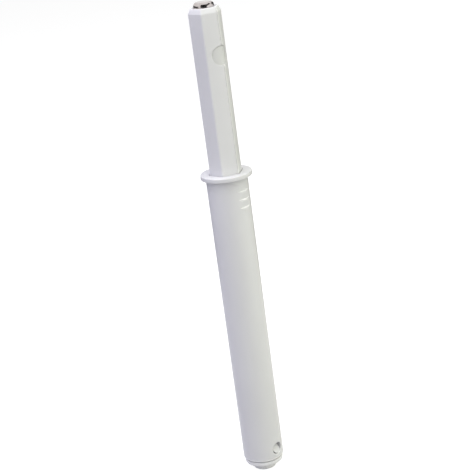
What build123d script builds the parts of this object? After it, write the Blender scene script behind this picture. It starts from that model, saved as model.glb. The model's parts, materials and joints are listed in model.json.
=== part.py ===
from build123d import *
import math
import os

# Magnetic push latch that is drilled into the front edge of a cabinet.
# Millimetres. The axis is Z, the tip points to +Z, and z = 0 is the collar's underside.
# The ribs, both pairs of windows and two corners of the hexagon lie on the X axis.

# Housing tube and collar
drill_diameter = 10.0
shank_clearance = 0.05
shank_length = 73.0
shank_end_chamfer = 0.3
shank_wall = 0.8
collar_diameter = 12.2
collar_thickness = 1.0
collar_edge_chamfer = 0.15
guide_mouth_chamfer = 0.15

# Crush ribs just under the collar
rib_count = 3
rib_width = 3.4
rib_start = 1.0
rib_first = 2.9
rib_pitch = 2.1
rib_root_depth = 0.35
rib_proud = 0.12
rib_run_out = 0.7

# Snap windows that hold the end cap
snap_window_diameter = 3.0
snap_window_rise = 2.7

# Plunger
across_flats = 6.9
corner_radius = 0.5
guide_clearance = 0.1
extension = 40.0
tip_edge_chamfer = 0.5
shoulder_thickness = 2.0
shoulder_clearance = 0.1
foot_length = 5.0
partition_depth = 3.0
partition_thickness = 2.0
light_bore_diameter = 4.2

# Travel
full_travel = 38.5
latch_overtravel = 1.5
stop_gap = 0.05
press_gap = 0.3

# Magnet, keeper plate and the carrier that snaps into the plunger's round windows
magnet_diameter = 4.75
magnet_length = 5.6
magnet_proud = 1.2
magnet_edge_radius = 0.8
magnet_clearance = 0.12
keeper_thickness = 0.8
carrier_length = 13.0
carrier_clearance = 0.05
carrier_slot_width = 1.2
carrier_slot_length = 9.0
window_diameter = 4.6
window_from_end = 11.0
pad_clearance = 0.1
pad_recess = 1.2
pad_edge_chamfer = 0.15

# Main spring
spring_mean_diameter = 3.85
spring_wire = 0.4
spring_coils = 12
spring_wire_sides = 5
spring_clearance = 0.275
spring_end_gap = 0.1

# End cap
cap_plug_length = 7.65
cap_clearance = 0.05
cap_seat_height = 0.3
cap_seat_width = 0.15
cap_rim_inset = 0.25
cap_rim_height = 1.0
cap_rim_taper = 0.1
cap_boss_diameter = 5.8
cap_boss_height = 1.8
cap_boss_edge_chamfer = 0.5
spring_seat_depth = 1.2
spring_post_diameter = 2.8
spring_post_length = 20.0
stud_clearance = 0.25
stud_sag = 0.15
stud_reach = 0.75
stud_ramp_drop = 0.9

# Latch finger, a bent spring wire that swings in the cap and runs in the cam track
finger_wire = 0.5
finger_length = 8.5
finger_axle_length = 1.7
finger_axle_clearance = 0.03
finger_wall_gap = 0.08
finger_foot_gap = 0.08
finger_slot_clearance = 0.2
finger_entry = 4.0

# Heart-shaped cam track in the plunger's foot
lane_offset = 0.8
lane_clearance = 0.125
track_depth = 0.55
pin_end_gap = 0.1
island_rise = 1.2
track_top_clearance = 0.2
track_mouth_flare = 0.4

# Radii and heights that follow from the sizes above
shank_radius = drill_diameter / 2 - shank_clearance
chamber_radius = shank_radius - shank_wall
guide_length = (
    shank_length - cap_plug_length - press_gap - full_travel - foot_length - shoulder_thickness - stop_gap
)
shoulder_top = -guide_length - stop_gap
shoulder_bottom = shoulder_top - shoulder_thickness
foot_bottom = shoulder_bottom - foot_length
cap_top = foot_bottom - full_travel - press_gap
spring_bottom = cap_top - spring_seat_depth
spring_top = -partition_depth
spring_bore_radius = (spring_mean_diameter + spring_wire) / 2 + spring_clearance
magnet_bore_radius = magnet_diameter / 2 + magnet_clearance
magnet_bottom = extension + magnet_proud - magnet_length
carrier_top = magnet_bottom - keeper_thickness
carrier_bottom = carrier_top - carrier_length
carrier_radius = magnet_bore_radius - carrier_clearance
window_height = extension - window_from_end
corner_reach = across_flats / 2 / math.cos(math.pi / 6) - corner_radius * (1 / math.cos(math.pi / 6) - 1)
pad_face = corner_reach - pad_recess
snap_window_height = -shank_length + snap_window_rise
finger_radius = finger_wire / 2
finger_orbit = chamber_radius - finger_wall_gap - finger_radius
finger_plane = math.sqrt(finger_orbit**2 - lane_offset**2)
foot_half_flats = finger_plane - finger_radius - finger_foot_gap
finger_tip = foot_bottom - full_travel + finger_entry
finger_pivot = finger_tip - math.sqrt(finger_length**2 - lane_offset**2)


def disc(radius, low, high):
    """Upright cylinder on the axis between two heights."""
    return Pos(0, 0, low) * Cylinder(radius, high - low, align=(Align.CENTER, Align.CENTER, Align.MIN))


def cross_pin(radius, half_length, height):
    """Cylinder along X through the axis."""
    return Pos(0, 0, height) * Rot(0, 90, 0) * Cylinder(radius, 2 * half_length)


def rounded_hexagon(flats, radius):
    """Hexagon with two corners on the X axis and every corner rounded."""
    sharp = RegularPolygon(flats / 2, 6, major_radius=False)
    return fillet(sharp.vertices(), radius)


def hexagon_bar(flats, radius, low, high):
    return extrude(Pos(0, 0, low) * rounded_hexagon(flats, radius), high - low)


def rib_teeth():
    """Ring of saw teeth: each ledge faces the collar, and each ramp leans in below it."""
    root = shank_radius - rib_root_depth
    inner = root - rib_root_depth
    crest = shank_radius + rib_proud
    points = [(inner, -rib_start), (shank_radius, -rib_start)]
    for tooth in range(rib_count):
        ledge = -rib_first - tooth * rib_pitch
        points.append((root, ledge))
        points.append((crest, ledge))
    end = ledge - rib_run_out
    points.append((shank_radius, end))
    points.append((inner, end))
    profile = make_face(Plane.XZ * Polyline(*points, close=True))
    return revolve(profile, Axis.Z), end


def housing():
    collar = disc(collar_diameter / 2, 0, collar_thickness)
    collar = chamfer(collar.edges().filter_by(GeomType.CIRCLE), collar_edge_chamfer)
    shank = disc(shank_radius, -shank_length, 0)
    shank = chamfer(shank.edges().sort_by(Axis.Z)[0], shank_end_chamfer)
    body = collar + shank
    teeth, teeth_end = rib_teeth()
    tooth_block = Box(drill_diameter * 2, rib_width, -rib_start - teeth_end)
    tooth_zone = Pos(0, 0, (teeth_end - rib_start) / 2) * tooth_block
    core = disc(shank_radius - rib_root_depth, teeth_end, -rib_start)
    body -= tooth_zone - core
    body += teeth & tooth_zone
    guide_flats = across_flats + 2 * guide_clearance
    guide = hexagon_bar(guide_flats, corner_radius, -guide_length, collar_thickness)
    body -= guide
    body -= disc(chamber_radius, -shank_length, -guide_length)
    mouth = body.faces().sort_by(Axis.Z)[-1].inner_wires()[0].edges()
    body = chamfer(mouth, guide_mouth_chamfer)
    body -= cross_pin(snap_window_diameter / 2, drill_diameter, snap_window_height)
    return body


def cam_track():
    """Track open at the foot: two lanes, an island between them and a pocket across the top."""
    half_lane = finger_radius + lane_clearance
    outer = lane_offset + half_lane
    inner = lane_offset - half_lane
    top = foot_bottom + finger_entry + finger_radius + track_top_clearance
    island_foot = foot_bottom + island_rise
    rest_height = foot_bottom + finger_entry - latch_overtravel
    mouth = make_face(
        Polyline(
            (-outer - track_mouth_flare, foot_bottom),
            (outer + track_mouth_flare, foot_bottom),
            (outer, foot_bottom + track_mouth_flare),
            (outer, top),
            (-outer, top),
            (-outer, foot_bottom + track_mouth_flare),
            close=True,
        )
    )
    island = make_face(
        Polyline(
            (0, island_foot),
            (inner, island_foot + inner),
            (inner, rest_height + finger_radius),
            (0, rest_height - finger_radius),
            (-inner, rest_height + finger_radius),
            (-inner, island_foot + inner),
            close=True,
        )
    )
    notch = Pos(0, rest_height) * Circle(finger_radius + lane_clearance / 2)
    face = mouth - (island - notch)
    floor = Plane(origin=(0, foot_half_flats - track_depth, 0), x_dir=(1, 0, 0), z_dir=(0, -1, 0))
    return extrude(floor * face, -chamber_radius)


def plunger():
    rod = hexagon_bar(across_flats, corner_radius, shoulder_bottom, extension)
    end_edges = rod.edges().group_by(Axis.Z)[-1]
    rod = chamfer(end_edges, tip_edge_chamfer)
    foot = hexagon_bar(2 * foot_half_flats, corner_radius, foot_bottom, shoulder_bottom)
    shoulder = disc(chamber_radius - shoulder_clearance, shoulder_bottom, shoulder_top)
    body = rod + foot + shoulder
    body -= disc(magnet_bore_radius, carrier_bottom, extension)
    body -= disc(light_bore_diameter / 2, -partition_depth + partition_thickness, carrier_bottom)
    body -= disc(spring_bore_radius, foot_bottom, -partition_depth)
    body -= cross_pin(window_diameter / 2, across_flats, window_height)
    body -= cam_track()
    return body


def magnet():
    body = disc(magnet_diameter / 2, magnet_bottom, magnet_bottom + magnet_length)
    return fillet(body.edges().sort_by(Axis.Z)[-1], magnet_edge_radius)


def keeper_plate():
    return disc(magnet_diameter / 2, carrier_top, magnet_bottom)


def magnet_carrier():
    body = disc(carrier_radius, carrier_bottom, carrier_top)
    pads = cross_pin(window_diameter / 2 - pad_clearance, pad_face, window_height)
    pads = chamfer(pads.edges().filter_by(GeomType.CIRCLE), pad_edge_chamfer)
    body += pads
    slot = Box(carrier_slot_width, 2 * magnet_bore_radius, carrier_slot_length)
    body -= Pos(0, 0, carrier_bottom + carrier_slot_length / 2) * slot
    return body


def main_spring():
    height = spring_top - spring_bottom - spring_wire - 2 * spring_end_gap
    start = spring_bottom + spring_end_gap + spring_wire / 2
    path = Pos(0, 0, start) * Helix(height / spring_coils, height, spring_mean_diameter / 2)
    section = Plane(origin=path @ 0, z_dir=path % 0) * RegularPolygon(spring_wire / 2, spring_wire_sides)
    return sweep(section, path=path, is_frenet=True)


def latch_finger():
    axle_end = finger_plane - finger_axle_length
    pin_end = foot_half_flats - track_depth + pin_end_gap
    path = Polyline(
        (0, axle_end, finger_pivot),
        (0, finger_plane, finger_pivot),
        (-lane_offset, finger_plane, finger_tip),
        (-lane_offset, pin_end, finger_tip),
    )
    section = Plane(origin=path @ 0, z_dir=path % 0) * Circle(finger_radius)
    return sweep(section, path=path, transition=Transition.RIGHT)


def stud(side):
    """Snap stud low in its window; its face leans in towards the tip, so that it clicks in from below."""
    radius = snap_window_diameter / 2 - stud_clearance
    height = snap_window_height - stud_sag
    plug_radius = chamber_radius - cap_clearance
    reach = plug_radius + stud_reach
    peg = cross_pin(radius, reach, height)
    ramp = make_face(
        Plane.XZ
        * Polyline(
            (0, height - radius),
            (reach, height - radius),
            (reach - stud_ramp_drop, height + radius),
            (0, height + radius),
            close=True,
        )
    )
    wedge = extrude(ramp, radius, both=True)
    return peg & wedge if side > 0 else peg & mirror(wedge, Plane.YZ)


def end_cap():
    plug_radius = chamber_radius - cap_clearance
    rim_radius = shank_radius - cap_rim_inset
    rim_top = -shank_length - cap_seat_height
    rim_bottom = rim_top - cap_rim_height
    boss_bottom = rim_bottom - cap_boss_height
    plug = disc(plug_radius, rim_top, cap_top)
    seat = disc(chamber_radius + cap_seat_width, rim_top, -shank_length)
    rim = Pos(0, 0, (rim_top + rim_bottom) / 2) * Cone(rim_radius - cap_rim_taper, rim_radius, cap_rim_height)
    boss = disc(cap_boss_diameter / 2, boss_bottom, rim_bottom)
    boss = chamfer(boss.edges().sort_by(Axis.Z)[0], cap_boss_edge_chamfer)
    body = plug + seat + rim + boss
    for side in (1, -1):
        body += stud(side)
    well = disc(spring_bore_radius, spring_bottom, cap_top)
    body -= well
    body += disc(spring_post_diameter / 2, spring_bottom, spring_bottom + spring_post_length)
    slot_floor = finger_plane - finger_radius - finger_foot_gap
    slot_bottom = finger_pivot - finger_radius - finger_slot_clearance
    swing = lane_offset * (cap_top - finger_pivot) / finger_length
    slot_half_width = swing + finger_radius + finger_slot_clearance
    slot = Box(2 * slot_half_width, chamber_radius, cap_top - slot_bottom)
    body -= Pos(0, slot_floor + chamber_radius / 2, (cap_top + slot_bottom) / 2) * slot
    axle_end = finger_plane - finger_axle_length - finger_slot_clearance
    axle_hole = Cylinder(finger_radius + finger_axle_clearance, slot_floor - axle_end)
    body -= Pos(0, (slot_floor + axle_end) / 2, finger_pivot) * Rot(90, 0, 0) * axle_hole
    return body


nodes = {
    "housing": housing(),
    "end_cap": end_cap(),
    "plunger": plunger(),
    "magnet_carrier": magnet_carrier(),
    "keeper_plate": keeper_plate(),
    "magnet": magnet(),
    "main_spring": main_spring(),
    "latch_finger": latch_finger(),
}

os.makedirs("parts", exist_ok=True)
for name, shape in nodes.items():
    export_step(shape, f"parts/{name}.step")
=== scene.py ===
import bmesh
import bpy
import json
import math
from mathutils import Matrix, Vector


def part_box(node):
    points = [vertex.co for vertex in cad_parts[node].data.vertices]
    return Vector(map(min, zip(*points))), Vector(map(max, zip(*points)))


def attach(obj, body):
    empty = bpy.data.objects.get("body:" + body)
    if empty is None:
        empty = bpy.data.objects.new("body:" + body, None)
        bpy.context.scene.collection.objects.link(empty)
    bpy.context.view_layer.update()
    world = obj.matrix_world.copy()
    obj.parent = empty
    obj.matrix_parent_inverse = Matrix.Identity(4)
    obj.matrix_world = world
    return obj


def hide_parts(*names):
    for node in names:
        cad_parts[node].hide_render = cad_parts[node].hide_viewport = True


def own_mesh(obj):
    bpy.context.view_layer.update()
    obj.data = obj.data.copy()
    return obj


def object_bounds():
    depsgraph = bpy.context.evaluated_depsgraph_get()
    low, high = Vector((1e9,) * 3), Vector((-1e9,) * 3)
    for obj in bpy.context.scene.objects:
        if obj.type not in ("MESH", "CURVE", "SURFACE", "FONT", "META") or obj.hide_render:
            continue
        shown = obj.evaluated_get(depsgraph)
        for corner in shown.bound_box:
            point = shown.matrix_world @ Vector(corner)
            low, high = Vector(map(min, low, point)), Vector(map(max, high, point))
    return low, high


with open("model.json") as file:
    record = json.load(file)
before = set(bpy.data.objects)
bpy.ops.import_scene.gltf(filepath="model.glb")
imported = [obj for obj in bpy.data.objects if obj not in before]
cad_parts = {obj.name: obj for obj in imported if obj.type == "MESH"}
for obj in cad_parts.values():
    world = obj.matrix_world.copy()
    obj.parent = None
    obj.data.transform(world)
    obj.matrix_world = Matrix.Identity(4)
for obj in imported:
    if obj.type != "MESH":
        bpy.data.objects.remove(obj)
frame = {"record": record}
cad_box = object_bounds()

# Magnetic push latch: tube with a collar, hexagonal plunger with a bright magnet in its tip.
# Metres. The axis is Z, the tip points to +Z, and z = 0 is the collar's underside.
mm = 0.001

# Heights read from the frame
collar_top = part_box("housing")[1].z
shank_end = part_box("housing")[0].z
tip_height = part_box("plunger")[1].z
foot_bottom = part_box("plunger")[0].z
magnet_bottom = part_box("magnet")[0].z
magnet_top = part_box("magnet")[1].z
cap_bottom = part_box("end_cap")[0].z
post_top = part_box("end_cap")[1].z
carrier_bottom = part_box("magnet_carrier")[0].z
carrier_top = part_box("magnet_carrier")[1].z
spring_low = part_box("main_spring")[0].z
spring_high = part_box("main_spring")[1].z
finger_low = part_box("latch_finger")[0].z
finger_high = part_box("latch_finger")[1].z

# Housing
shank_radius = 4.95 * mm
chamber_radius = 4.15 * mm
collar_radius = 6.1 * mm
collar_edge = 0.14 * mm
foot_chamfer = 0.3 * mm
guide_apothem = 3.66 * mm
guide_corner = 0.2 * mm
guide_mouth = 0.1 * mm
guide_length = 19.5 * mm
snap_window_radius = 1.5 * mm
snap_window_lip = 0.12 * mm
snap_window_height = shank_end + 2.7 * mm
snap_block_half_height = 2.1 * mm
snap_block_half_width = 2.25 * mm

# Crush ribs under the collar
rib_count = 3
rib_first = -3.2 * mm
rib_pitch = 2.0 * mm
rib_root = 4.64 * mm
rib_slant = 0.12 * mm
rib_half_width = 2.1 * mm
rib_proud = 0.09 * mm
rib_swell_top = -0.6 * mm
rib_swell_bottom = -8.9 * mm
rib_fade_top = 0.4 * mm
rib_fade_bottom = 1.4 * mm
notch_half_width = 3.0 * mm
notch_lip_drop = 0.25 * mm
notch_ramp_drop = 0.27 * mm

# Plunger
rod_apothem = 3.5 * mm
rod_corner = 0.5 * mm
rod_crown = 0.06 * mm
tip_bevel_width = 0.5 * mm
tip_bevel_height = 1.15 * mm
tip_bevel_top = 0.25 * mm
tip_bevel_foot = 0.5 * mm
tip_flat_inset = 0.68 * mm
tip_corner_share = 0.6
tip_mouth = 0.25 * mm
foot_apothem = 3.4 * mm
shoulder_radius = 4.05 * mm
shoulder_edge = 0.15 * mm
shoulder_top = -guide_length - 0.05 * mm
shoulder_bottom = shoulder_top - 2.0 * mm
magnet_bore = 2.495 * mm
magnet_bore_spread = 0.45
light_bore = 2.1 * mm
light_bore_floor = -1.0 * mm
spring_bore = 2.4 * mm
spring_bore_roof = -3.0 * mm
window_radius = 2.3 * mm
window_lip = 0.1 * mm
window_height = tip_height - 11.0 * mm
window_block_half_height = 2.95 * mm
window_block_turn = math.radians(52)
seam_depth = 0.2 * mm
seam_width = 0.24 * mm
seam_steep_share = 0.4

# Cam track in the plunger's foot
lane_offset = 0.8 * mm
half_lane = 0.375 * mm
track_depth = 0.55 * mm
track_height = 4.45 * mm
track_flare = 0.4 * mm
island_foot = 1.2 * mm
notch_height = 2.5 * mm
notch_radius = 0.31 * mm
island_horn = 0.25 * mm

# Magnet, keeper and carrier
magnet_radius = 2.375 * mm
magnet_edge = 0.8 * mm
magnet_foot_edge = 0.1 * mm
keeper_edge = 0.08 * mm
carrier_radius = 2.445 * mm
carrier_edge = 0.15 * mm
pad_radius = 2.26 * mm
pad_sag = 0.03 * mm
pad_offset = 0.02 * mm
pad_reach = 3.5 * mm
pad_fall = 0.19 / mm
pad_edge = 0.06 * mm
pad_root = 1.0 * mm
carrier_slot_half_width = 0.6 * mm
carrier_slot_height = 9.0 * mm

# End cap
plug_radius = 4.1 * mm
plug_top = shank_end + 7.65 * mm
seat_radius = 3.95 * mm
rim_top = shank_end - 0.3 * mm
rim_bottom = rim_top - 1.0 * mm
rim_radius = 4.7 * mm
rim_foot_radius = 4.6 * mm
boss_radius = 2.9 * mm
post_radius = 1.4 * mm
well_radius = 2.4 * mm
well_floor = plug_top - 1.2 * mm
stud_radius = 1.17 * mm
stud_height = snap_window_height - 0.24 * mm
stud_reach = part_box("end_cap")[1].x
stud_sunk = 0.1 * mm
stud_lean = 1.0 * mm
stud_offset = 0.27 * mm
stud_edge = 0.1 * mm
stud_root = 2.6 * mm
stud_well_floor = 2.9 * mm
stud_well_edge = 0.05 * mm
finger_slot_half_width = 0.858 * mm
finger_slot_gap = 0.2 * mm
pivot_hole_radius = 0.28 * mm
pivot_hole_depth = 1.9 * mm

# Springs
spring_radius = 1.925 * mm
spring_wire = 0.4 * mm
spring_turns = 12.0
spring_closed_turns = 1.0
spring_points = 640
finger_radius = 0.25 * mm
finger_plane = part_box("latch_finger")[1].y - finger_radius
finger_bend = 0.45 * mm
finger_axle = 1.7 * mm
finger_pin = 0.78 * mm

# Colours of the plastics, and how strongly each edge gets a painted glow (a paler colour standing
# in for light through thin plastic), from 0 to 1
plastic = (0.63, 0.63, 0.645)
# Painted shade: the carrier's plastic is the same plastic made darker so that it looks less lit
carrier_painted_shade = (0.57, 0.572, 0.575)
painted_glow_colour = (0.88, 0.88, 0.885)
foot_painted_glow = 0.9
ledge_painted_glow = 0.5
tip_painted_glow = 0.12
tip_glow_height = 0.9 * mm
tip_glow_fade = 0.7 * mm
# Painted highlight: a pale strip along one side of the plunger's seams
seam_painted_highlight = 0.3
seam_highlight_start = 0.09 * mm
seam_highlight_end = 0.9 * mm
rim_painted_glow = 0.5

# Photograph's viewpoint, from the collar's underside
view_side = math.radians(-46.47)
view_distance = 308.9 * mm
view_shift = 0.14 * mm
view_height = 86.0 * mm
view_down = math.radians(18.06)
view_lean = math.radians(7.65)
photo_width = 470.0
focal_pixels = 1363.8
sensor_width = 36.0

# Studio
object_centre = Vector((0, 0, -42 * mm))
softbox_size = 0.4
softbox_distance = 0.6
flag_distance = 0.28
edge_flag_distance = 0.14
edge_flag_width = 0.16
ambient_level = 0.2
floor_half_size = 4.0
floor_shade = 0.3
floor_glow = 0.88


def unit(vector):
    return vector / vector.length


def rounded(corners, steps=5):
    """Line through (across, height, radius) corners, each rounded to its radius."""
    line = []
    last = len(corners) - 1
    for index, (across, height, radius) in enumerate(corners):
        corner = Vector((across, height))
        if radius == 0 or index in (0, last):
            line.append(corner)
            continue
        back = unit(Vector(corners[index - 1][:2]) - corner)
        ahead = unit(Vector(corners[index + 1][:2]) - corner)
        half = back.angle(ahead) / 2
        centre = corner + unit(back + ahead) * radius / math.sin(half)
        start = corner + back * radius / math.tan(half) - centre
        end = corner + ahead * radius / math.tan(half) - centre
        turn = start.angle_signed(end)
        for step in range(steps + 1):
            line.append(centre + Matrix.Rotation(-turn * step / steps, 2) @ start)
    return line


def stretched(line, longest):
    """The same line with points added, so that no stretch is longer than the given length."""
    points = [line[0]]
    for point in line[1:]:
        start = points[-1]
        count = max(1, math.ceil((point - start).length / longest))
        for step in range(1, count + 1):
            points.append(start.lerp(point, step / count))
    return points


def stretched_sides(line, longest):
    """The same for a turned piece's line, whose ends on the axis stay as they are."""
    return [line[0]] + stretched(line[1:-1], longest) + [line[-1]]


def corner_centre(apothem, corner):
    return (apothem - corner) / math.cos(math.pi / 6)


def hexagon_reach(angle, apothem, corner):
    """Distance from the axis to the edge of a rounded hexagon with a corner on +X."""
    turn = (angle + math.pi / 6) % (math.pi / 3) - math.pi / 6
    centre = corner_centre(apothem, corner)
    arc_end = math.atan2(corner / 2, centre + corner * math.cos(math.pi / 6))
    if abs(turn) < arc_end:
        return centre * math.cos(turn) + math.sqrt(corner**2 - (centre * math.sin(turn)) ** 2)
    return apothem / math.cos(math.pi / 6 - abs(turn))


def hexagon_angles(apothem, corner, arc_steps=8, flat_steps=16):
    """Directions that follow the corners closely and the flats evenly."""
    centre = corner_centre(apothem, corner)
    angles = []
    for side in range(6):
        middle = side * math.pi / 3
        for step in range(arc_steps + 1):
            normal = math.pi / 3 * (step / arc_steps - 0.5)
            spread = math.atan2(corner * math.sin(normal), centre + corner * math.cos(normal))
            angles.append(middle + spread)
        width = math.pi / 3 - 2 * spread
        angles += [middle + spread + width * step / flat_steps for step in range(1, flat_steps)]
    return angles


def round_ring(angles, radius, height):
    return [(radius * math.cos(a), radius * math.sin(a), height) for a in angles]


def hexagon_ring(angles, apothem, corner, height):
    ring = []
    for a in angles:
        reach = hexagon_reach(a, apothem, corner)
        ring.append((reach * math.cos(a), reach * math.sin(a), height))
    return ring


class Skin:
    """Points and faces of one piece, made ring by ring."""

    def __init__(self):
        self.points = []
        self.faces = []

    def ring(self, points):
        first = len(self.points)
        self.points += [tuple(p) for p in points]
        return list(range(first, len(self.points)))

    def turned(self, angles, line):
        """A round ring at each (across, height) point of a line."""
        return [self.ring(round_ring(angles, p.x, p.y)) for p in line]

    def tube(self, angles, radius, heights):
        """Round rings of one radius."""
        return [self.ring(round_ring(angles, radius, z)) for z in heights]

    def bridge(self, near, far, gaps=()):
        count = len(near)
        for j in range(count):
            k = (j + 1) % count
            if j not in gaps:
                self.faces.append((near[j], near[k], far[k], far[j]))

    def fan(self, ring, centre):
        (middle,) = self.ring([centre])
        for j, first in enumerate(ring):
            self.faces.append((first, ring[(j + 1) % len(ring)], middle))

    def moved(self, along):
        """The same skin moved along Y."""
        self.points = [(x, y + along, z) for x, y, z in self.points]
        return self

    def mesh(self, name):
        mesh = bpy.data.meshes.new(name)
        mesh.from_pydata(self.points, [], self.faces)
        work = bmesh.new()
        work.from_mesh(mesh)
        bmesh.ops.recalc_face_normals(work, faces=work.faces)
        work.to_mesh(mesh)
        work.free()
        return mesh


def block_loop(rings, columns):
    """Points round a block of a ring skin, in order."""
    first, last = rings[0], rings[-1]
    left = [ring[columns[0]] for ring in rings[1:-1]]
    right = [ring[columns[-1]] for ring in rings[1:-1]]
    return [first[c] for c in columns] + right + [last[c] for c in reversed(columns)] + left[::-1]


def pierce(skin, outer, inner, height, radius, lip, side, outside, inside, steps=5):
    """Round opening along X between two block loops, with a rounded lip outside."""
    start = [Vector(skin.points[i]) for i in outer]
    finish = [Vector(skin.points[i]) for i in inner]
    angles = [math.atan2(p.z - height, p.y) for p in start]

    def surface_ring(loop, share, size, surface, depth):
        points = []
        for p, a in zip(loop, angles):
            y = p.y * (1 - share) + size * math.cos(a) * share
            z = p.z * (1 - share) + (height + size * math.sin(a)) * share
            points.append((side * (surface(y) - depth), y, z))
        return skin.ring(points)

    loops = [outer]
    for step in range(1, steps + 1):
        loops.append(surface_ring(start, step / steps, radius + lip, outside, 0))
    for step in range(1, steps + 1):
        turn = math.pi / 2 * step / steps
        size = radius + lip * (1 - math.sin(turn))
        loops.append(surface_ring(start, 1, size, outside, lip * (1 - math.cos(turn))))
    for step in range(steps, 0, -1):
        loops.append(surface_ring(finish, step / steps, radius, inside, 0))
    loops.append(inner)
    for near, far in zip(loops, loops[1:]):
        skin.bridge(near, far)


def round_side(radius):
    """How far a round wall lies along X, at each place along Y."""
    return lambda y: math.sqrt(radius**2 - y * y)


def near_side(angles, side, limit):
    """Columns within a limit of +X or -X, in order."""
    middle = 0 if side > 0 else math.pi
    turns = {j: (a - middle + math.pi) % (2 * math.pi) - math.pi for j, a in enumerate(angles)}
    return sorted((j for j in turns if abs(turns[j]) < limit), key=turns.get)


def block_rows(middle, half_height, steps):
    """Heights of the rings that a window is cut in."""
    return [middle + half_height * (step / steps - 1) for step in range(2 * steps + 1)]


def pierced_walls(skin, rings, windows, blocks):
    """Faces between the rings, left open where the windows' blocks are."""
    gaps = {column for block in blocks.values() for column in block[:-1]}
    pierced = {ring[0] for rows in windows for ring in rows[:-1]}
    for near, far in zip(rings, rings[1:]):
        skin.bridge(near, far, gaps if near[0] in pierced else ())


def lathe_skin(line, columns):
    """Turned piece whose line starts and ends on the axis."""
    angles = [2 * math.pi * j / columns for j in range(columns)]
    skin = Skin()
    rings = skin.turned(angles, line[1:-1])
    for near, far in zip(rings, rings[1:]):
        skin.bridge(near, far)
    skin.fan(rings[0], (0, 0, line[0].y))
    skin.fan(rings[-1], (0, 0, line[-1].y))
    return skin


def peg_skin(side, root, face, radius, height, edge, lean=0.0, columns=48):
    """Round peg along X from its root, with a rounded edge; face(y) gives how far it reaches."""
    turns = [2 * math.pi * j / columns for j in range(columns)]

    def section(size, setback):
        points = []
        for t in turns:
            y = size * math.cos(t)
            z = size * math.sin(t)
            x = face(y) - lean * (z + radius) / (2 * radius) - setback
            points.append((side * x, y, height + z))
        return points

    skin = Skin()
    base = [(side * root, radius * math.cos(t), height + radius * math.sin(t)) for t in turns]
    rings = [skin.ring(base)]
    for step in range(6):
        turn = math.pi / 2 * step / 5
        size = radius - edge * (1 - math.cos(turn))
        rings.append(skin.ring(section(size, edge * (1 - math.sin(turn)))))
    for share in (0.8, 0.6, 0.4, 0.2):
        rings.append(skin.ring(section(radius * share, 0)))
    for near, far in zip(rings, rings[1:]):
        skin.bridge(near, far)
    skin.fan(rings[0], (side * root, 0, height))
    skin.fan(rings[-1], (side * (face(0) - lean / 2), 0, height))
    return skin


def rectangle(half_width, low, high):
    return [(-half_width, low), (half_width, low), (half_width, high), (-half_width, high)]


def prism_skin(outline, low, high):
    """Block with an outline in X and Z, between two places along Y."""
    skin = Skin()
    near = skin.ring([(x, low, z) for x, z in outline])
    far = skin.ring([(x, high, z) for x, z in outline])
    skin.bridge(near, far)
    skin.faces += [tuple(near), tuple(far)]
    return skin


def new_object(name, mesh):
    piece = bpy.data.objects.new(name, mesh)
    bpy.context.scene.collection.objects.link(piece)
    return piece


def smooth(mesh, sharpest=32):
    mesh.shade_smooth()
    mesh.set_sharp_from_angle(angle=math.radians(sharpest))


def make_plain(piece):
    """The piece's modifiers become its mesh."""
    graph = bpy.context.evaluated_depsgraph_get()
    mesh = bpy.data.meshes.new_from_object(piece.evaluated_get(graph))
    piece.modifiers.clear()
    piece.data = mesh
    mesh.name = piece.name


def combine(piece, skins, operation):
    """Cuts the skins from the piece or fuses them to it."""
    tools = []
    for skin in skins:
        tool = new_object("tool", skin.mesh("tool"))
        step = piece.modifiers.new("combine", "BOOLEAN")
        step.operation = operation
        step.solver = "EXACT"
        step.object = tool
        tools.append(tool)
    make_plain(piece)
    for tool in tools:
        bpy.data.objects.remove(tool)


def mark_painted_glow(piece, share):
    """Says at each corner of a face how strongly a painted glow lightens the colour there; it
    stands in for light through thin edges.
    """
    mesh = piece.data
    values = []
    for face in mesh.polygons:
        for index in face.vertices:
            values.append(min(1.0, max(0.0, share(mesh.vertices[index].co, face.normal))))
    mesh.attributes.new("thin", "FLOAT", "CORNER").data.foreach_set("value", values)


def finish_piece(piece, material, node):
    """Gives a piece its finish, lets it ride with its body and stand for its solid."""
    piece.data.materials.clear()
    piece.data.materials.append(material)
    smooth(piece.data)
    bodies = frame["record"]["behaviour"]["bodies"]
    body = next(b for b in bodies if node in bodies[b])
    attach(piece, body)
    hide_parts(node)


# Node trees for what repeats or follows a path


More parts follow.
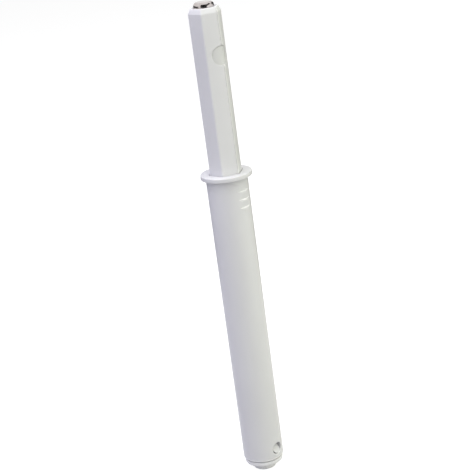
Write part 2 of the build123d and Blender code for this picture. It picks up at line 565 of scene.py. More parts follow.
class Tree:
    """Geometry tree with named inputs, run as a modifier."""

    def __init__(self, name, inputs):
        self.group = bpy.data.node_groups.new(name, "GeometryNodeTree")
        face = self.group.interface
        face.new_socket("Geometry", in_out="INPUT", socket_type="NodeSocketGeometry")
        for label, kind in inputs.items():
            face.new_socket(label, in_out="INPUT", socket_type=f"NodeSocket{kind}")
        face.new_socket("Geometry", in_out="OUTPUT", socket_type="NodeSocketGeometry")
        self.source = self.group.nodes.new("NodeGroupInput")
        self.result = self.group.nodes.new("NodeGroupOutput")

    def input(self, label):
        return self.source.outputs[label]

    def add(self, kind, settings=None, **links):
        """New node; links are values or sockets for its inputs, by name with _ for spaces."""
        node = self.group.nodes.new(kind)
        for key, value in (settings or {}).items():
            setattr(node, key, value)
        for key, value in links.items():
            self.feed(node.inputs[key.replace("_", " ")], value)
        return node

    def feed(self, socket, value):
        if isinstance(value, bpy.types.NodeSocket):
            self.group.links.new(value, socket)
        else:
            socket.default_value = value

    def math(self, operation, first, second=0.0):
        node = self.group.nodes.new("ShaderNodeMath")
        node.operation = operation
        self.feed(node.inputs[0], first)
        self.feed(node.inputs[1], second)
        return node.outputs[0]

    def plus(self, first, second):
        return self.math("ADD", first, second)

    def minus(self, first, second):
        return self.math("SUBTRACT", first, second)

    def times(self, first, second):
        return self.math("MULTIPLY", first, second)

    def place(self, x, y, z):
        return self.add("ShaderNodeCombineXYZ", X=x, Y=y, Z=z).outputs[0]

    def close(self, geometry):
        """Realizes what is instanced, gives it the material and hands it on."""
        real = self.add("GeometryNodeRealizeInstances", Geometry=geometry).outputs[0]
        material = self.input("Material")
        dressed = self.add("GeometryNodeSetMaterial", Geometry=real, Material=material)
        self.group.links.new(dressed.outputs[0], self.result.inputs[0])

    def run(self, piece, values):
        """The tree's result becomes the piece's plain mesh."""
        step = piece.modifiers.new(self.group.name, "NODES")
        step.node_group = self.group
        sockets = {s.name: s for s in self.group.interface.items_tree if s.in_out == "INPUT"}
        for label, value in values.items():
            step[sockets[label].identifier] = value
        make_plain(piece)


def rib_tree():
    """Cuts a row of notches into both sides of the tube, so that saw-tooth ribs stay."""
    inputs = {
        "Notch": "Object",
        "Count": "Int",
        "First Ledge": "Float",
        "Pitch": "Float",
        "Material": "Material",
    }
    tree = Tree("crush ribs", inputs)
    notch = tree.add("GeometryNodeObjectInfo", Object=tree.input("Notch")).outputs["Geometry"]
    start = tree.place(0.0, 0.0, tree.input("First Ledge"))
    down = tree.place(0.0, 0.0, tree.times(tree.input("Pitch"), -1.0))
    count = tree.input("Count")
    line = tree.add("GeometryNodeMeshLine", Count=count, Start_Location=start, Offset=down)
    row = tree.add("GeometryNodeInstanceOnPoints", Points=line.outputs[0], Instance=notch)
    notches = tree.add("GeometryNodeRealizeInstances", Geometry=row.outputs[0]).outputs[0]
    half_turn = (0.0, 0.0, math.pi)
    turned = tree.add("GeometryNodeTransform", Geometry=notches, Rotation=half_turn).outputs[0]
    cut = tree.add("GeometryNodeMeshBoolean", {"operation": "DIFFERENCE", "solver": "EXACT"})
    tree.group.links.new(tree.input("Geometry"), cut.inputs["Mesh 1"])
    for part in (notches, turned):
        tree.group.links.new(part, cut.inputs["Mesh 2"])
    tree.close(cut.outputs[0])
    return tree


def coil_tree():
    """Round wire wound as a compression spring with closed ends."""
    inputs = {
        "Radius": "Float",
        "Wire": "Float",
        "Turns": "Float",
        "Closed Turns": "Float",
        "Bottom": "Float",
        "Top": "Float",
        "Points": "Int",
        "Material": "Material",
    }
    tree = Tree("coil spring", inputs)
    wire = tree.input("Wire")
    closed = tree.input("Closed Turns")
    open_turns = tree.input("Turns")
    along = tree.add("GeometryNodeSplineParameter").outputs["Factor"]
    all_turns = tree.plus(open_turns, tree.times(closed, 2.0))
    turn = tree.times(along, all_turns)
    height = tree.minus(tree.input("Top"), tree.input("Bottom"))
    closed_height = tree.times(wire, tree.plus(tree.times(closed, 2.0), 1.0))
    pitch = tree.math("DIVIDE", tree.minus(height, closed_height), open_turns)
    low_turns = tree.math("MINIMUM", turn, closed)
    past = tree.minus(turn, closed)
    middle_turns = tree.math("MINIMUM", tree.math("MAXIMUM", past, 0.0), open_turns)
    high_turns = tree.math("MAXIMUM", tree.minus(past, open_turns), 0.0)
    rise = tree.times(wire, tree.plus(low_turns, high_turns))
    rise = tree.plus(rise, tree.times(pitch, middle_turns))
    start = tree.plus(tree.input("Bottom"), tree.times(wire, 0.5))
    angle = tree.times(turn, 2 * math.pi)
    x = tree.times(tree.input("Radius"), tree.math("COSINE", angle))
    y = tree.times(tree.input("Radius"), tree.math("SINE", angle))
    spot = tree.place(x, y, tree.plus(start, rise))
    line = tree.add("GeometryNodeCurvePrimitiveLine", End=(0.0, 0.0, 1.0)).outputs[0]
    line = tree.add("GeometryNodeResampleCurve", Curve=line, Count=tree.input("Points")).outputs[0]
    coil = tree.add("GeometryNodeSetPosition", Geometry=line, Position=spot).outputs[0]
    tree.close(swept_wire(tree, coil, wire))
    return tree


def swept_wire(tree, path, thickness, sides=12):
    """Round wire along a path, with closed ends."""
    half = tree.times(thickness, 0.5)
    circle = tree.add("GeometryNodeCurvePrimitiveCircle", Resolution=sides, Radius=half).outputs[0]
    wire = tree.add("GeometryNodeCurveToMesh", Curve=path, Profile_Curve=circle, Fill_Caps=True)
    return wire.outputs[0]


def bent_wire_tree():
    """Round wire along the piece's own edges, with each corner eased by the bend."""
    inputs = {"Wire": "Float", "Bend": "Float", "Material": "Material"}
    tree = Tree("bent wire", inputs)
    path = tree.add("GeometryNodeMeshToCurve", Mesh=tree.input("Geometry")).outputs[0]
    bend = tree.input("Bend")
    bent = tree.add("GeometryNodeFilletCurve", Curve=path, Radius=bend, Limit_Radius=True)
    tree.close(swept_wire(tree, bent.outputs[0], tree.input("Wire")))
    return tree


# Materials


class Finish:
    """Material whose colour, roughness and bump come from noise on object coordinates."""

    def __init__(self, name, **constants):
        self.material = bpy.data.materials.new(name)
        self.material.use_nodes = True
        self.nodes = self.material.node_tree.nodes
        self.links = self.material.node_tree.links
        self.shader = self.nodes["Principled BSDF"]
        self.coordinates = self.nodes.new("ShaderNodeTexCoord").outputs["Object"]
        for key, value in constants.items():
            self.shader.inputs[key.replace("_", " ")].default_value = value

    def noise(self, stretch, detail=3.0, roughness=0.5):
        """Noise value; stretch is how many features fit in a metre along X, Y and Z."""
        mapping = self.nodes.new("ShaderNodeMapping")
        mapping.inputs["Scale"].default_value = stretch
        self.links.new(self.coordinates, mapping.inputs["Vector"])
        noise = self.nodes.new("ShaderNodeTexNoise")
        noise.inputs["Scale"].default_value = 1.0
        noise.inputs["Detail"].default_value = detail
        noise.inputs["Roughness"].default_value = roughness
        self.links.new(mapping.outputs[0], noise.inputs["Vector"])
        return noise.outputs["Fac"]

    def attribute(self, name):
        """Value that the piece carries at each of its points."""
        node = self.nodes.new("ShaderNodeAttribute")
        node.attribute_name = name
        return node.outputs["Fac"]

    def ranged(self, value, low, high, start=0.3, end=0.7):
        node = self.nodes.new("ShaderNodeMapRange")
        numbers = {"From Min": start, "From Max": end, "To Min": low, "To Max": high}
        for key, number in numbers.items():
            node.inputs[key].default_value = number
        self.links.new(value, node.inputs["Value"])
        return node.outputs["Result"]

    def blended(self, value, first, second):
        """Colour between two, by a value from 0 to 1; a colour may be a socket."""
        mix = self.nodes.new("ShaderNodeMix")
        mix.data_type = "RGBA"
        for key, shade in (("A", first), ("B", second)):
            if isinstance(shade, bpy.types.NodeSocket):
                self.links.new(shade, mix.inputs[key])
            else:
                mix.inputs[key].default_value = (*shade, 1.0)
        self.links.new(value, mix.inputs["Factor"])
        return mix.outputs["Result"]

    def colour(self, socket):
        self.links.new(socket, self.shader.inputs["Base Color"])

    def roughness(self, socket):
        self.links.new(socket, self.shader.inputs["Roughness"])

    def bumps(self, layers):
        """Bump layers, each a height value and the depth in metres that it stands for."""
        normal = None
        for height, depth in layers:
            bump = self.nodes.new("ShaderNodeBump")
            bump.inputs["Distance"].default_value = depth
            self.links.new(height, bump.inputs["Height"])
            if normal:
                self.links.new(normal, bump.inputs["Normal"])
            normal = bump.outputs["Normal"]
        self.links.new(normal, self.shader.inputs["Normal"])


def moulded_plastic(name, shade, tone):
    """Satin light grey plastic: cloudy tone, faint draw lines, fine grain, and a painted glow that
    makes edges paler.
    """
    finish = Finish(
        name, IOR=1.49, Specular_IOR_Level=0.35, Subsurface_Weight=0.25, Subsurface_Scale=0.0007
    )
    finish.shader.inputs["Subsurface Radius"].default_value = (1.0, 0.95, 0.9)
    cloud = finish.noise((90.0, 90.0, 45.0), detail=2.0)
    darker = [channel * 0.97 for channel in shade]
    lighter = [min(1.0, channel * 1.02) for channel in shade]
    body = finish.blended(finish.ranged(cloud, 0.0, 1.0), darker, lighter)
    # Painted glow: the colour turns paler where the piece carries it, standing in for light
    # through thin edges and for highlights
    finish.colour(finish.blended(finish.attribute("thin"), body, painted_glow_colour))
    haze = finish.noise((1500.0, 1500.0, 500.0), detail=4.0)
    finish.roughness(finish.ranged(haze, tone - 0.06, tone + 0.06))
    draw_lines = finish.noise((2600.0, 2600.0, 40.0), detail=2.0)
    grain = finish.noise((7000.0, 7000.0, 7000.0), detail=4.0, roughness=0.6)
    finish.bumps([(draw_lines, 0.004 * mm), (grain, 0.006 * mm)])
    return finish.material


def nickel_plate():
    """Bright nickel on the magnet: slight orange peel, fine handling scratches, dull spots."""
    finish = Finish("nickel_plate", Metallic=1.0)
    stain = finish.noise((900.0, 900.0, 900.0), detail=4.0, roughness=0.6)
    bright, dull = (0.66, 0.61, 0.595), (0.5, 0.455, 0.44)
    finish.colour(finish.blended(finish.ranged(stain, 0.0, 1.0, 0.45, 0.75), bright, dull))
    haze = finish.noise((2500.0, 2500.0, 2500.0), detail=5.0, roughness=0.65)
    finish.roughness(finish.ranged(haze, 0.1, 0.26))
    peel = finish.noise((1100.0, 1100.0, 1100.0), detail=1.0)
    scratch = finish.noise((900.0, 14000.0, 3000.0), detail=2.0)
    finish.bumps([(peel, 0.012 * mm), (scratch, 0.0015 * mm)])
    return finish.material


def spring_steel():
    """Drawn wire: grey steel with fine streaks."""
    finish = Finish("spring_steel", Metallic=1.0)
    streak = finish.noise((2500.0, 2500.0, 9000.0), detail=3.0)
    dark, light = (0.36, 0.37, 0.385), (0.52, 0.53, 0.545)
    finish.colour(finish.blended(finish.ranged(streak, 0.0, 1.0), dark, light))
    finish.roughness(finish.ranged(streak, 0.24, 0.42))
    finish.bumps([(streak, 0.003 * mm)])
    return finish.material


def stamped_steel():
    """Plain stamped plate with a rolled grain along X."""
    finish = Finish("stamped_steel", Metallic=1.0)
    grain = finish.noise((400.0, 9000.0, 9000.0), detail=3.0)
    dark, light = (0.46, 0.46, 0.47), (0.6, 0.6, 0.61)
    finish.colour(finish.blended(finish.ranged(grain, 0.0, 1.0), dark, light))
    finish.roughness(finish.ranged(grain, 0.28, 0.45))
    finish.bumps([(grain, 0.002 * mm)])
    return finish.material


# Pieces


def rib_swell(y, height):
    """How far the tube swells where the ribs are cut: most at the middle, fading at both ends."""
    across = max(0.0, 1 - (y / rib_half_width) ** 2)
    above = (rib_swell_top - height) / rib_fade_top
    below = (height - rib_swell_bottom) / rib_fade_bottom
    return rib_proud * across * max(0.0, min(above, below, 1.0))


def shank_ring(angles, radius, height):
    """Round ring, swelling a little where the ribs are."""
    ring = []
    for x, y, z in round_ring(angles, radius, height):
        ring.append((x + math.copysign(rib_swell(y, height), x), y, z))
    return ring


def shank_heights():
    """Rows of the tube's outside from its foot up to the collar."""
    window_rows = block_rows(snap_window_height, snap_block_half_height, 5)
    swell_length = rib_swell_top - rib_swell_bottom
    rib_rows = [rib_swell_bottom + swell_length * step / 20 for step in range(21)]
    first = window_rows[-1]
    plain_rows = [first + (rib_rows[0] - first) * step / 24 for step in range(1, 24)]
    return window_rows, plain_rows + rib_rows


def housing_skin():
    angles = sorted(a % (2 * math.pi) for a in hexagon_angles(guide_apothem, guide_corner))
    skin = Skin()
    window_rows, upper_rows = shank_heights()
    foot = rounded(
        [
            (chamber_radius, shank_end + 1.0 * mm, 0),
            (chamber_radius, shank_end, 0.06 * mm),
            (shank_radius - foot_chamfer, shank_end, 0.1 * mm),
            (shank_radius, shank_end + foot_chamfer, 0.12 * mm),
            (shank_radius, window_rows[0], 0),
        ]
    )
    collar = rounded(
        [
            (shank_radius, upper_rows[-1], 0),
            (shank_radius, 0, 0.1 * mm),
            (collar_radius, 0, collar_edge * 0.7),
            (collar_radius, collar_top, collar_edge),
            (guide_apothem + 1.2 * mm, collar_top, 0),
        ]
    )
    rings = skin.turned(angles, foot[1:-1])
    window_outer = skin.tube(angles, shank_radius, window_rows)
    rings += window_outer
    rings += [skin.ring(shank_ring(angles, shank_radius, z)) for z in upper_rows]
    rings += skin.turned(angles, collar[1:])
    guide = rounded(
        [
            (guide_apothem + 0.5 * mm, collar_top, 0),
            (guide_apothem, collar_top, guide_mouth),
            (guide_apothem, -guide_length, 0),
        ]
    )
    for p in stretched(guide[1:], 2.5 * mm):
        corner = guide_corner + p.x - guide_apothem
        rings.append(skin.ring(hexagon_ring(angles, p.x, corner, p.y)))
    rings += skin.tube(angles, chamber_radius, [-guide_length])
    stop = Vector((chamber_radius, -guide_length))
    down = stretched([stop, Vector((chamber_radius, window_rows[-1] + 0.5 * mm))], 3.0 * mm)
    rings += skin.turned(angles, down[1:])
    window_inner = skin.tube(angles, chamber_radius, reversed(window_rows))
    rings += window_inner
    limit = math.asin(snap_block_half_width / shank_radius)
    blocks = {side: near_side(angles, side, limit) for side in (1, -1)}
    pierced_walls(skin, rings + rings[:1], (window_outer, window_inner), blocks)
    for side, block in blocks.items():
        pierce(
            skin,
            outer=block_loop(window_outer, block),
            inner=block_loop(window_inner[::-1], block),
            height=snap_window_height,
            radius=snap_window_radius,
            lip=snap_window_lip,
            side=side,
            outside=round_side(shank_radius),
            inside=round_side(chamber_radius),
        )
    return skin


def notch_skin():
    """Cutter of one notch: leaning ledge with a rounded lip below, ramp above."""
    crest = shank_radius + rib_proud
    outside = shank_radius + 1.0 * mm
    outline = rounded(
        [
            (rib_root, rib_slant + 0.02 * mm, 0),
            (rib_root, rib_slant, 0.05 * mm),
            (crest - 0.06 * mm, 0, 0.15 * mm),
            (crest + 0.01 * mm, -notch_lip_drop, 0),
            (outside, -notch_lip_drop, 0),
            (outside, rib_pitch, 0),
            (crest + 0.01 * mm, rib_pitch - notch_ramp_drop, 0),
        ]
    )
    return prism_skin([(p.x, p.y) for p in outline], -notch_half_width, notch_half_width)


def housing_painted_glow(point, normal):
    """Painted glow, most at the foot's edge, and some as a painted highlight on the ribs' ledges.
    """
    if point.z < shank_end + foot_chamfer + 0.05 * mm:
        return foot_painted_glow
    beside_tube = math.hypot(point.x, point.y) < shank_radius + 0.2 * mm
    on_ledge = normal.z > 0.5 and beside_tube and point.z < rib_first + 0.4 * mm
    return ledge_painted_glow if on_ledge else 0.0


def make_housing(material):
    notch = new_object("notch", notch_skin().mesh("notch"))
    piece = new_object("housing_tube", housing_skin().mesh("housing_tube"))
    sizes = {
        "Notch": notch,
        "Count": rib_count,
        "First Ledge": rib_first,
        "Pitch": rib_pitch,
        "Material": material,
    }
    rib_tree().run(piece, sizes)
    bpy.data.objects.remove(notch)
    # Paints a paler glow on the foot's edge and the ribs' ledges
    mark_painted_glow(piece, housing_painted_glow)
    finish_piece(piece, material, "housing")


def crowned(angle):
    """How far the plunger's outside falls in from its plain hexagon, most at the corners."""
    turn = (angle + math.pi / 6) % (math.pi / 3) - math.pi / 6
    return rod_crown * (1 - abs(turn) / (math.pi / 6)) ** 2


def seam_cut(y):
    """Depth of the seam's groove, gentle on one side and steep on the other."""
    width = seam_width if y < 0 else seam_width * seam_steep_share
    return seam_depth * max(0.0, 1 - abs(y) / width)


def rod_surface(y):
    """Distance along X of the plunger's outside beside its +X or -X corner, seam included."""
    centre = corner_centre(rod_apothem, rod_corner)
    if abs(y) < rod_corner / 2:
        plain = centre + math.sqrt(rod_corner**2 - y * y)
    else:
        plain = rod_apothem / math.cos(math.pi / 6) - abs(y) * math.tan(math.pi / 6)
    return plain - crowned(math.atan2(y, plain)) - seam_cut(y)


def rod_ring(angles, apothem, corner, height, seamed=True):
    """Hexagonal ring with the mould's seam cut along its two corners on the X axis."""
    ring = []
    for a, (x, y, z) in zip(angles, hexagon_ring(angles, apothem, corner, height)):
        x -= crowned(a) * math.cos(a)
        y -= crowned(a) * math.sin(a)
        if seamed and abs(y) < seam_width:
            x -= math.copysign(seam_cut(y), x)
        ring.append((x, y, z))
    return ring


def rod_angles():
    """Columns of the plunger, with more across the two seams."""
    angles = hexagon_angles(rod_apothem, rod_corner, arc_steps=10)
    reach = hexagon_reach(0, rod_apothem, rod_corner)
    for edge in (-seam_width, seam_width * seam_steep_share):
        turn = math.asin(edge / reach)
        angles += [turn, math.pi - turn]
    return sorted(a % (2 * math.pi) for a in angles)


def bore_angle(angle):
    """Column's direction inside the magnet's bore, spread so that the windows have room."""
    return angle + magnet_bore_spread * math.sin(2 * angle)


def plunger_skin():
    angles = rod_angles()
    bore_angles = [bore_angle(a) for a in angles]
    skin = Skin()
    floor = Vector((light_bore, light_bore_floor))
    rise = stretched([floor, Vector((light_bore, carrier_bottom))], 3.0 * mm)
    rings = []
    for share in (0.5, 0.9):
        rings += skin.tube(angles, light_bore * share, [light_bore_floor])
    rings += skin.turned(bore_angles, rise)
    window_rows = block_rows(window_height, window_block_half_height, 6)
    below_window = (carrier_bottom, (carrier_bottom + window_rows[0]) / 2)
    rings += skin.tube(bore_angles, magnet_bore, below_window)
    window_inner = skin.tube(bore_angles, magnet_bore, window_rows)
    rings += window_inner
    mouth = rounded(
        [
            (magnet_bore, window_rows[-1], 0),
            (magnet_bore, tip_height, tip_mouth),
            (magnet_bore + 0.3 * mm, tip_height, 0),
        ]
    )
    rings += skin.turned(bore_angles, stretched(mouth[1:-1], 2.0 * mm))
    outer = rounded(
        [
            (rod_apothem - tip_flat_inset, tip_height, 0),
            (rod_apothem - tip_bevel_width, tip_height, tip_bevel_top),
            (rod_apothem, tip_height - tip_bevel_height, tip_bevel_foot),
            (rod_apothem, window_rows[-1], 0),
        ],
        steps=8,
    )
    for p in outer[:-1]:
        corner = rod_corner + (p.x - rod_apothem) * tip_corner_share
        seamed = p.x > rod_apothem - 0.05 * mm
        rings.append(skin.ring(rod_ring(angles, p.x, corner, p.y, seamed)))
    down = reversed(window_rows)
    window_outer = [skin.ring(rod_ring(angles, rod_apothem, rod_corner, z)) for z in down]
    rings += window_outer
    top = Vector((rod_apothem, window_rows[0]))
    shaft = stretched([top, Vector((rod_apothem, shoulder_top))], 2.5 * mm)
    rings += [skin.ring(rod_ring(angles, p.x, rod_corner, p.y)) for p in shaft[1:]]
    shoulder = rounded(
        [
            (rod_apothem + 0.4 * mm, shoulder_top, 0),
            (shoulder_radius, shoulder_top, shoulder_edge),
            (shoulder_radius, shoulder_bottom, shoulder_edge),
            (rod_apothem + 0.4 * mm, shoulder_bottom, 0),
        ]
    )
    rings += skin.turned(angles, shoulder[1:-1])
    foot = rounded(
        [
            (foot_apothem, shoulder_bottom, 0),
            (foot_apothem, foot_bottom, 0.12 * mm),
            (foot_apothem - 0.4 * mm, foot_bottom, 0),
        ]
    )
    for p in foot[:-1]:
        corner = rod_corner + p.x - foot_apothem
        rings.append(skin.ring(hexagon_ring(angles, p.x, corner, p.y)))
    bore = rounded(
        [
            (spring_bore + 0.3 * mm, foot_bottom, 0),
            (spring_bore, foot_bottom, 0.1 * mm),
            (spring_bore, spring_bore_roof, 0.2 * mm),
            (0.5 * mm, spring_bore_roof, 0),
        ]
    )
    rings += skin.turned(angles, stretched(bore[1:], 3.0 * mm))
    blocks = {side: near_side(angles, side, window_block_turn) for side in (1, -1)}
    pierced_walls(skin, rings, (window_outer, window_inner), blocks)
    skin.fan(rings[0], (0, 0, light_bore_floor))
    skin.fan(rings[-1], (0, 0, spring_bore_roof))
    for side, block in blocks.items():
        pierce(
            skin,
            outer=block_loop(window_outer[::-1], block),
            inner=block_loop(window_inner, block),
            height=window_height,
            radius=window_radius,
            lip=window_lip,
            side=side,
            outside=rod_surface,
            inside=round_side(magnet_bore),
        )
    return skin


def track_outline():
    outer = lane_offset + half_lane
    below = foot_bottom - 0.5 * mm
    top = foot_bottom + track_height
    return [
        (-outer - track_flare, below),
        (outer + track_flare, below),
        (outer + track_flare, foot_bottom),
        (outer, foot_bottom + track_flare),
        (outer, top),
        (-outer, top),
        (-outer, foot_bottom + track_flare),
        (-outer - track_flare, foot_bottom),
    ]


def island_outline(steps=10):
    """Heart-shaped island with a round notch on top that catches the finger."""
    inner = lane_offset - half_lane
    foot = foot_bottom + island_foot
    rest = foot_bottom + notch_height
    outline = [(0, foot), (inner, foot + inner), (inner, rest + island_horn)]
    for step in range(steps + 1):
        turn = math.radians(18 - 216 * step / steps)
        outline.append((notch_radius * math.cos(turn), rest + notch_radius * math.sin(turn)))
    return outline + [(-inner, rest + island_horn), (-inner, foot + inner)]


def plunger_painted_glow(point, normal):
    """Painted glow, a little at the tip, and some as a painted highlight along one side of the
    seams.
    """
    near_tip = (point.z - tip_height + tip_glow_height) / tip_glow_fade
    at_corner = abs(point.x) > rod_apothem - rod_corner
    beside_seam = at_corner and seam_highlight_start < point.y < seam_highlight_end
    return max(tip_painted_glow * min(1.0, near_tip), seam_painted_highlight if beside_seam else 0.0)


def make_plunger(material):
    piece = new_object("plunger_rod", plunger_skin().mesh("plunger_rod"))
    floor = foot_apothem - track_depth
    combine(piece, [prism_skin(track_outline(), floor, foot_apothem + 0.6 * mm)], "DIFFERENCE")
    combine(piece, [prism_skin(island_outline(), floor - 0.1 * mm, foot_apothem)], "UNION")
    # Paints a paler glow at the tip and a painted highlight beside the seams
    mark_painted_glow(piece, plunger_painted_glow)
    finish_piece(piece, material, "plunger")


def stud_face(y):
    """Reach of a snap stud, rounded a little like the tube round it."""
    return round_side(stud_reach)(y) - stud_sunk


def well_face(y):
    """Reach of the cutter of a stud's well, just past the plug."""
    return plug_radius + 0.5 * mm


def finger_cutters():
    """Slot that the finger swings in, and the hole that its axle turns in."""
    opening = rectangle(finger_slot_half_width, finger_low - finger_slot_gap, plug_top + 0.5 * mm)
    pivot = finger_low + finger_radius
    circle = []
    for step in range(24):
        turn = math.radians(15 * step)
        x = pivot_hole_radius * math.cos(turn)
        circle.append((x, pivot + pivot_hole_radius * math.sin(turn)))
    slot = prism_skin(opening, foot_apothem, plug_radius + 0.5 * mm)
    hole = prism_skin(circle, finger_plane - pivot_hole_depth, foot_apothem + 0.3 * mm)
    return [slot, hole]


def cap_painted_glow(point, normal):
    """Painted glow, some at the rim and the boss."""
    return rim_painted_glow if point.z < rim_top + 0.05 * mm else 0.0


def make_end_cap(material):
    line = rounded(
        [
            (0, post_top, 0),
            (post_radius, post_top, 0.35 * mm),
            (post_radius, well_floor, 0.15 * mm),
            (well_radius, well_floor, 0.1 * mm),
            (well_radius, plug_top, 0.12 * mm),
            (plug_radius, plug_top, 0.25 * mm),
            (plug_radius, shank_end, 0),
            (seat_radius, shank_end, 0.02 * mm),
            (seat_radius, rim_top, 0.04 * mm),
            (rim_radius, rim_top, 0.1 * mm),
            (rim_foot_radius, rim_bottom, 0.25 * mm),
            (boss_radius, rim_bottom, 0.15 * mm),
            (boss_radius, cap_bottom, 0.5 * mm),
            (0, cap_bottom, 0),
        ]
    )
    skin = lathe_skin(stretched_sides(line, 3.0 * mm), 120)
    piece = new_object("end_cap_plug", skin.mesh("end_cap_plug"))
    wells = []
    studs = []
    for side in (1, -1):
        well = peg_skin(
            side,
            root=stud_well_floor,
            face=well_face,
            radius=snap_window_radius,
            height=snap_window_height,
            edge=stud_well_edge,
        )
        stud = peg_skin(
            side,
            root=stud_root,
            face=stud_face,
            radius=stud_radius,
            height=stud_height,
            edge=stud_edge,
            lean=stud_lean,
        )
        wells.append(well)
        studs.append(stud.moved(side * stud_offset))
    combine(piece, wells, "DIFFERENCE")
    combine(piece, studs, "UNION")
    combine(piece, finger_cutters(), "DIFFERENCE")
    # Paints a paler glow on the rim and the boss
    mark_painted_glow(piece, cap_painted_glow)
    finish_piece(piece, material, "end_cap")


def pad_face(y):
    """Reach of a carrier pad, which falls away beside the plunger's corner."""
    return pad_reach - pad_fall * y * y


def make_carrier(material):
    line = rounded(
        [
            (0, carrier_bottom, 0),
            (carrier_radius, carrier_bottom, carrier_edge),
            (carrier_radius, carrier_top, carrier_edge),
            (0, carrier_top, 0),
        ]
    )
    skin = lathe_skin(stretched_sides(line, 1.5 * mm), 96)
    piece = new_object("carrier_insert", skin.mesh("carrier_insert"))
    pads = []
    for side in (1, -1):
        pad = peg_skin(
            side,
            root=pad_root,
            face=pad_face,
            radius=pad_radius,
            height=window_height - pad_sag,
            edge=pad_edge,
        )
        pads.append(pad.moved(side * pad_offset))
    combine(piece, pads, "UNION")
    top = carrier_bottom + carrier_slot_height
    slot = rectangle(carrier_slot_half_width, carrier_bottom - 0.5 * mm, top)
    combine(piece, [prism_skin(slot, -3.0 * mm, 3.0 * mm)], "DIFFERENCE")
    finish_piece(piece, material, "magnet_carrier")


def turned_disc(name, low, high, low_edge, high_edge):
    """Disc as wide as the magnet, with its own rounding at each edge."""
    radius = magnet_radius
    corners = [(0, low, 0), (radius, low, low_edge), (radius, high, high_edge), (0, high, 0)]
    line = rounded(corners, steps=10)
    inner = Vector((radius / 2, high))
    line = line[:-1] + [inner] + line[-1:]
    return new_object(name, lathe_skin(line, 120).mesh(name))


def make_magnet(material):
    piece = turned_disc("magnet_disc", magnet_bottom, magnet_top, magnet_foot_edge, magnet_edge)
    finish_piece(piece, material, "magnet")


def make_keeper(material):
    piece = turned_disc("keeper_disc", carrier_top, magnet_bottom, keeper_edge, keeper_edge)
    finish_piece(piece, material, "keeper_plate")


def make_spring(material):
    piece = new_object("coil_spring", bpy.data.meshes.new("coil_spring"))
    sizes = {
        "Radius": spring_radius,
        "Wire": spring_wire,
        "Turns": spring_turns,
        "Closed Turns": spring_closed_turns,
        "Bottom": spring_low,
        "Top": spring_high,
        "Points": spring_points,
        "Material": material,
    }
    coil_tree().run(piece, sizes)
    finish_piece(piece, material, "main_spring")
    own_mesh(piece)


def make_finger(material):
    low = finger_low + finger_radius
    high = finger_high - finger_radius
    points = [
        (0, finger_plane - finger_axle, low),
        (0, finger_plane, low),
        (-lane_offset, finger_plane, high),
        (-lane_offset, finger_plane - finger_pin, high),
    ]
    mesh = bpy.data.meshes.new("bent_finger")
    mesh.from_pydata(points, [(0, 1), (1, 2), (2, 3)], [])
    piece = new_object("bent_finger", mesh)
    sizes = {"Wire": 2 * finger_radius, "Bend": finger_bend, "Material": material}
    bent_wire_tree().run(piece, sizes)
    finish_piece(piece, material, "latch_finger")


# Studio


def direction(azimuth, elevation):
    """Unit vector, with azimuth counted to the right from the camera's side."""
    angle = view_side + math.radians(azimuth)
    rise = math.radians(elevation)
    level = math.cos(rise)
    return Vector((math.cos(angle) * level, math.sin(angle) * level, math.sin(rise)))


def make_camera():
    forward = -direction(0, math.degrees(view_down))
    right = direction(90, 0)
    up = right.cross(forward)
    across = math.cos(view_lean) * right - math.sin(view_lean) * up
    above = math.sin(view_lean) * right + math.cos(view_lean) * up
    data = bpy.data.cameras.new("camera")
    data.sensor_width = sensor_width
    data.lens = focal_pixels / photo_width * sensor_width
    data.clip_start = 0.01
    camera = bpy.data.objects.new("camera", data)
    away = Vector((math.cos(view_side), math.sin(view_side), 0))
    place = away * view_distance + right * view_shift
    place.z = view_height
    turned = Matrix((across, above, -forward)).transposed().to_4x4()
    camera.matrix_world = Matrix.Translation(place) @ turned
    bpy.context.scene.collection.objects.link(camera)
    bpy.context.scene.camera = camera


def facing_object(azimuth, elevation, distance):
    """Place and turn of a flat thing whose +Z side points away from the object."""
    away = direction(azimuth, elevation)
    turn = away.to_track_quat("Z", "Y").to_matrix().to_4x4()
    return Matrix.Translation(away * distance + object_centre) @ turn


def make_softbox(name, azimuth, elevation, level, tint):
    """Square area lamp that faces the object; level is the brightness of its own surface."""
    data = bpy.data.lights.new(name, "AREA")
    data.shape = "SQUARE"
    data.size = softbox_size
    data.color = tint
    data.energy = level * math.pi * softbox_size**2
    lamp = bpy.data.objects.new(name, data)
    lamp.matrix_world = facing_object(azimuth, elevation, softbox_distance)
    lamp.visible_glossy = False
    bpy.context.scene.collection.objects.link(lamp)


def make_flag(name, azimuth, distance, width, low, high, rise=0.0):
    """Upright black card that only shows as a dark reflection; it rises towards its right side."""
    mesh = bpy.data.meshes.new(name)
    middle = direction(azimuth, 0) * distance
    half = direction(azimuth + 90, 0) * width / 2
    base, top = Vector((0, 0, low)), Vector((0, 0, high))
    lift = Vector((0, 0, rise))
    left = [middle - half + top, middle - half + base]
    right = [middle + half + base + lift, middle + half + top + lift]
    mesh.from_pydata(left + right, [], [(0, 1, 2, 3)])
    flag = new_object(name, mesh)
    material = bpy.data.materials.new(name)
    material.use_nodes = True
    shader = material.node_tree.nodes["Principled BSDF"]
    shader.inputs["Base Color"].default_value = (0.01, 0.01, 0.01, 1.0)
    shader.inputs["Roughness"].default_value = 1.0
    mesh.materials.append(material)
    flag.visible_camera = False
    flag.visible_diffuse = False
    flag.visible_transmission = False
    flag.visible_shadow = False


def seen_directly(nodes, links):
    """1 for camera, glossy and transmission rays, 0 for the rest."""
    path = nodes.new("ShaderNodeLightPath")
    total = path.outputs["Is Camera Ray"]
    for kind in ("Is Glossy Ray", "Is Transmission Ray"):
        most = nodes.new("ShaderNodeMath")
        most.operation = "MAXIMUM"
        links.new(total, most.inputs[0])
        links.new(path.outputs[kind], most.inputs[1])
        total = most.outputs[0]
    return total


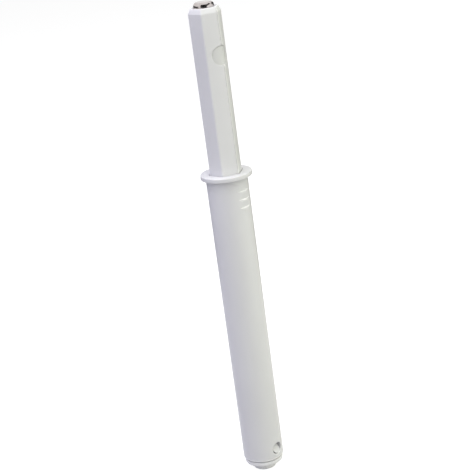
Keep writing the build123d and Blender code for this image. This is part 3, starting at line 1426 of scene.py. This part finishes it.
def make_floor():
    """Pale floor: it looks white where it is seen, and throws little light on the object."""
    corners = rectangle(floor_half_size, -floor_half_size, floor_half_size)
    mesh = bpy.data.meshes.new("floor")
    level = cad_box[0].z - 0.02 * mm
    mesh.from_pydata([(x, y, level) for x, y in corners], [], [(0, 1, 2, 3)])
    floor = new_object("floor", mesh)
    material = bpy.data.materials.new("pale_floor")
    material.use_nodes = True
    nodes, links = material.node_tree.nodes, material.node_tree.links
    nodes.clear()
    matt = nodes.new("ShaderNodeBsdfDiffuse")
    matt.inputs["Color"].default_value = (floor_shade, floor_shade, floor_shade, 1.0)
    lift = nodes.new("ShaderNodeEmission")
    strength = nodes.new("ShaderNodeMath")
    strength.operation = "MULTIPLY"
    strength.inputs[1].default_value = floor_glow
    links.new(seen_directly(nodes, links), strength.inputs[0])
    links.new(strength.outputs[0], lift.inputs["Strength"])
    both = nodes.new("ShaderNodeAddShader")
    links.new(matt.outputs[0], both.inputs[0])
    links.new(lift.outputs[0], both.inputs[1])
    output = nodes.new("ShaderNodeOutputMaterial")
    links.new(both.outputs[0], output.inputs["Surface"])
    mesh.materials.append(material)


def make_world():
    """White where it is seen, and a dim even light on the object."""
    world = bpy.data.worlds.new("studio")
    bpy.context.scene.world = world
    world.use_nodes = True
    nodes, links = world.node_tree.nodes, world.node_tree.links
    background = nodes["Background"]
    background.inputs["Color"].default_value = (1.0, 1.0, 1.0, 1.0)
    strength = nodes.new("ShaderNodeMapRange")
    strength.inputs["To Min"].default_value = ambient_level
    strength.inputs["To Max"].default_value = 1.0
    links.new(seen_directly(nodes, links), strength.inputs["Value"])
    links.new(strength.outputs["Result"], background.inputs["Strength"])


def make_studio():
    make_world()
    make_floor()
    make_softbox("top_softbox", 0, 89.9, 0.8, (0.95, 0.94, 1.0))
    make_softbox("upper_left_softbox", -110, 60, 2.8, (0.86, 0.82, 1.0))
    make_softbox("upper_front_softbox", -20, 60, 2.65, (1.0, 1.0, 1.0))
    make_softbox("upper_right_softbox", 70, 60, 2.25, (0.99, 1.0, 0.92))
    make_softbox("front_softbox", 10, 20, 1.6, (1.0, 0.98, 0.98))
    make_softbox("front_right_softbox", 50, 20, 2.05, (0.97, 1.0, 0.82))
    make_softbox("right_softbox", 90, 20, 1.85, (0.97, 1.0, 0.8))
    make_softbox("left_softbox", -70, 20, 2.05, (0.76, 0.76, 1.0))
    make_softbox("back_right_softbox", 140, 25, 0.7, (1.0, 1.0, 0.95))
    make_softbox("back_left_softbox", -150, 25, 0.7, (0.95, 0.95, 1.0))
    make_flag("camera_flag", 0, flag_distance, 0.4, -75 * mm, 420 * mm)
    make_flag("right_flag", 65, flag_distance, 0.36, 40 * mm, 300 * mm, rise=200 * mm)
    make_flag("far_right_flag", 130, flag_distance, 0.25, 30 * mm, 200 * mm)
    make_flag("left_flag", -105, flag_distance, 0.5, -75 * mm, 50 * mm)
    for name, azimuth in (("left_edge_flag", -150), ("right_edge_flag", 150)):
        make_flag(name, azimuth, edge_flag_distance, edge_flag_width, -90 * mm, 30 * mm)
    bpy.context.scene.view_settings.view_transform = "Standard"


make_camera()
make_housing(moulded_plastic("housing_plastic", plastic, 0.42))
make_plunger(moulded_plastic("plunger_plastic", plastic, 0.4))
make_end_cap(moulded_plastic("cap_plastic", plastic, 0.44))
# The carrier gets painted shade, a darker copy of the same plastic
make_carrier(moulded_plastic("carrier_plastic", carrier_painted_shade, 0.46))
make_magnet(nickel_plate())
make_keeper(stamped_steel())
wire = spring_steel()
make_spring(wire)
make_finger(wire)
make_studio()
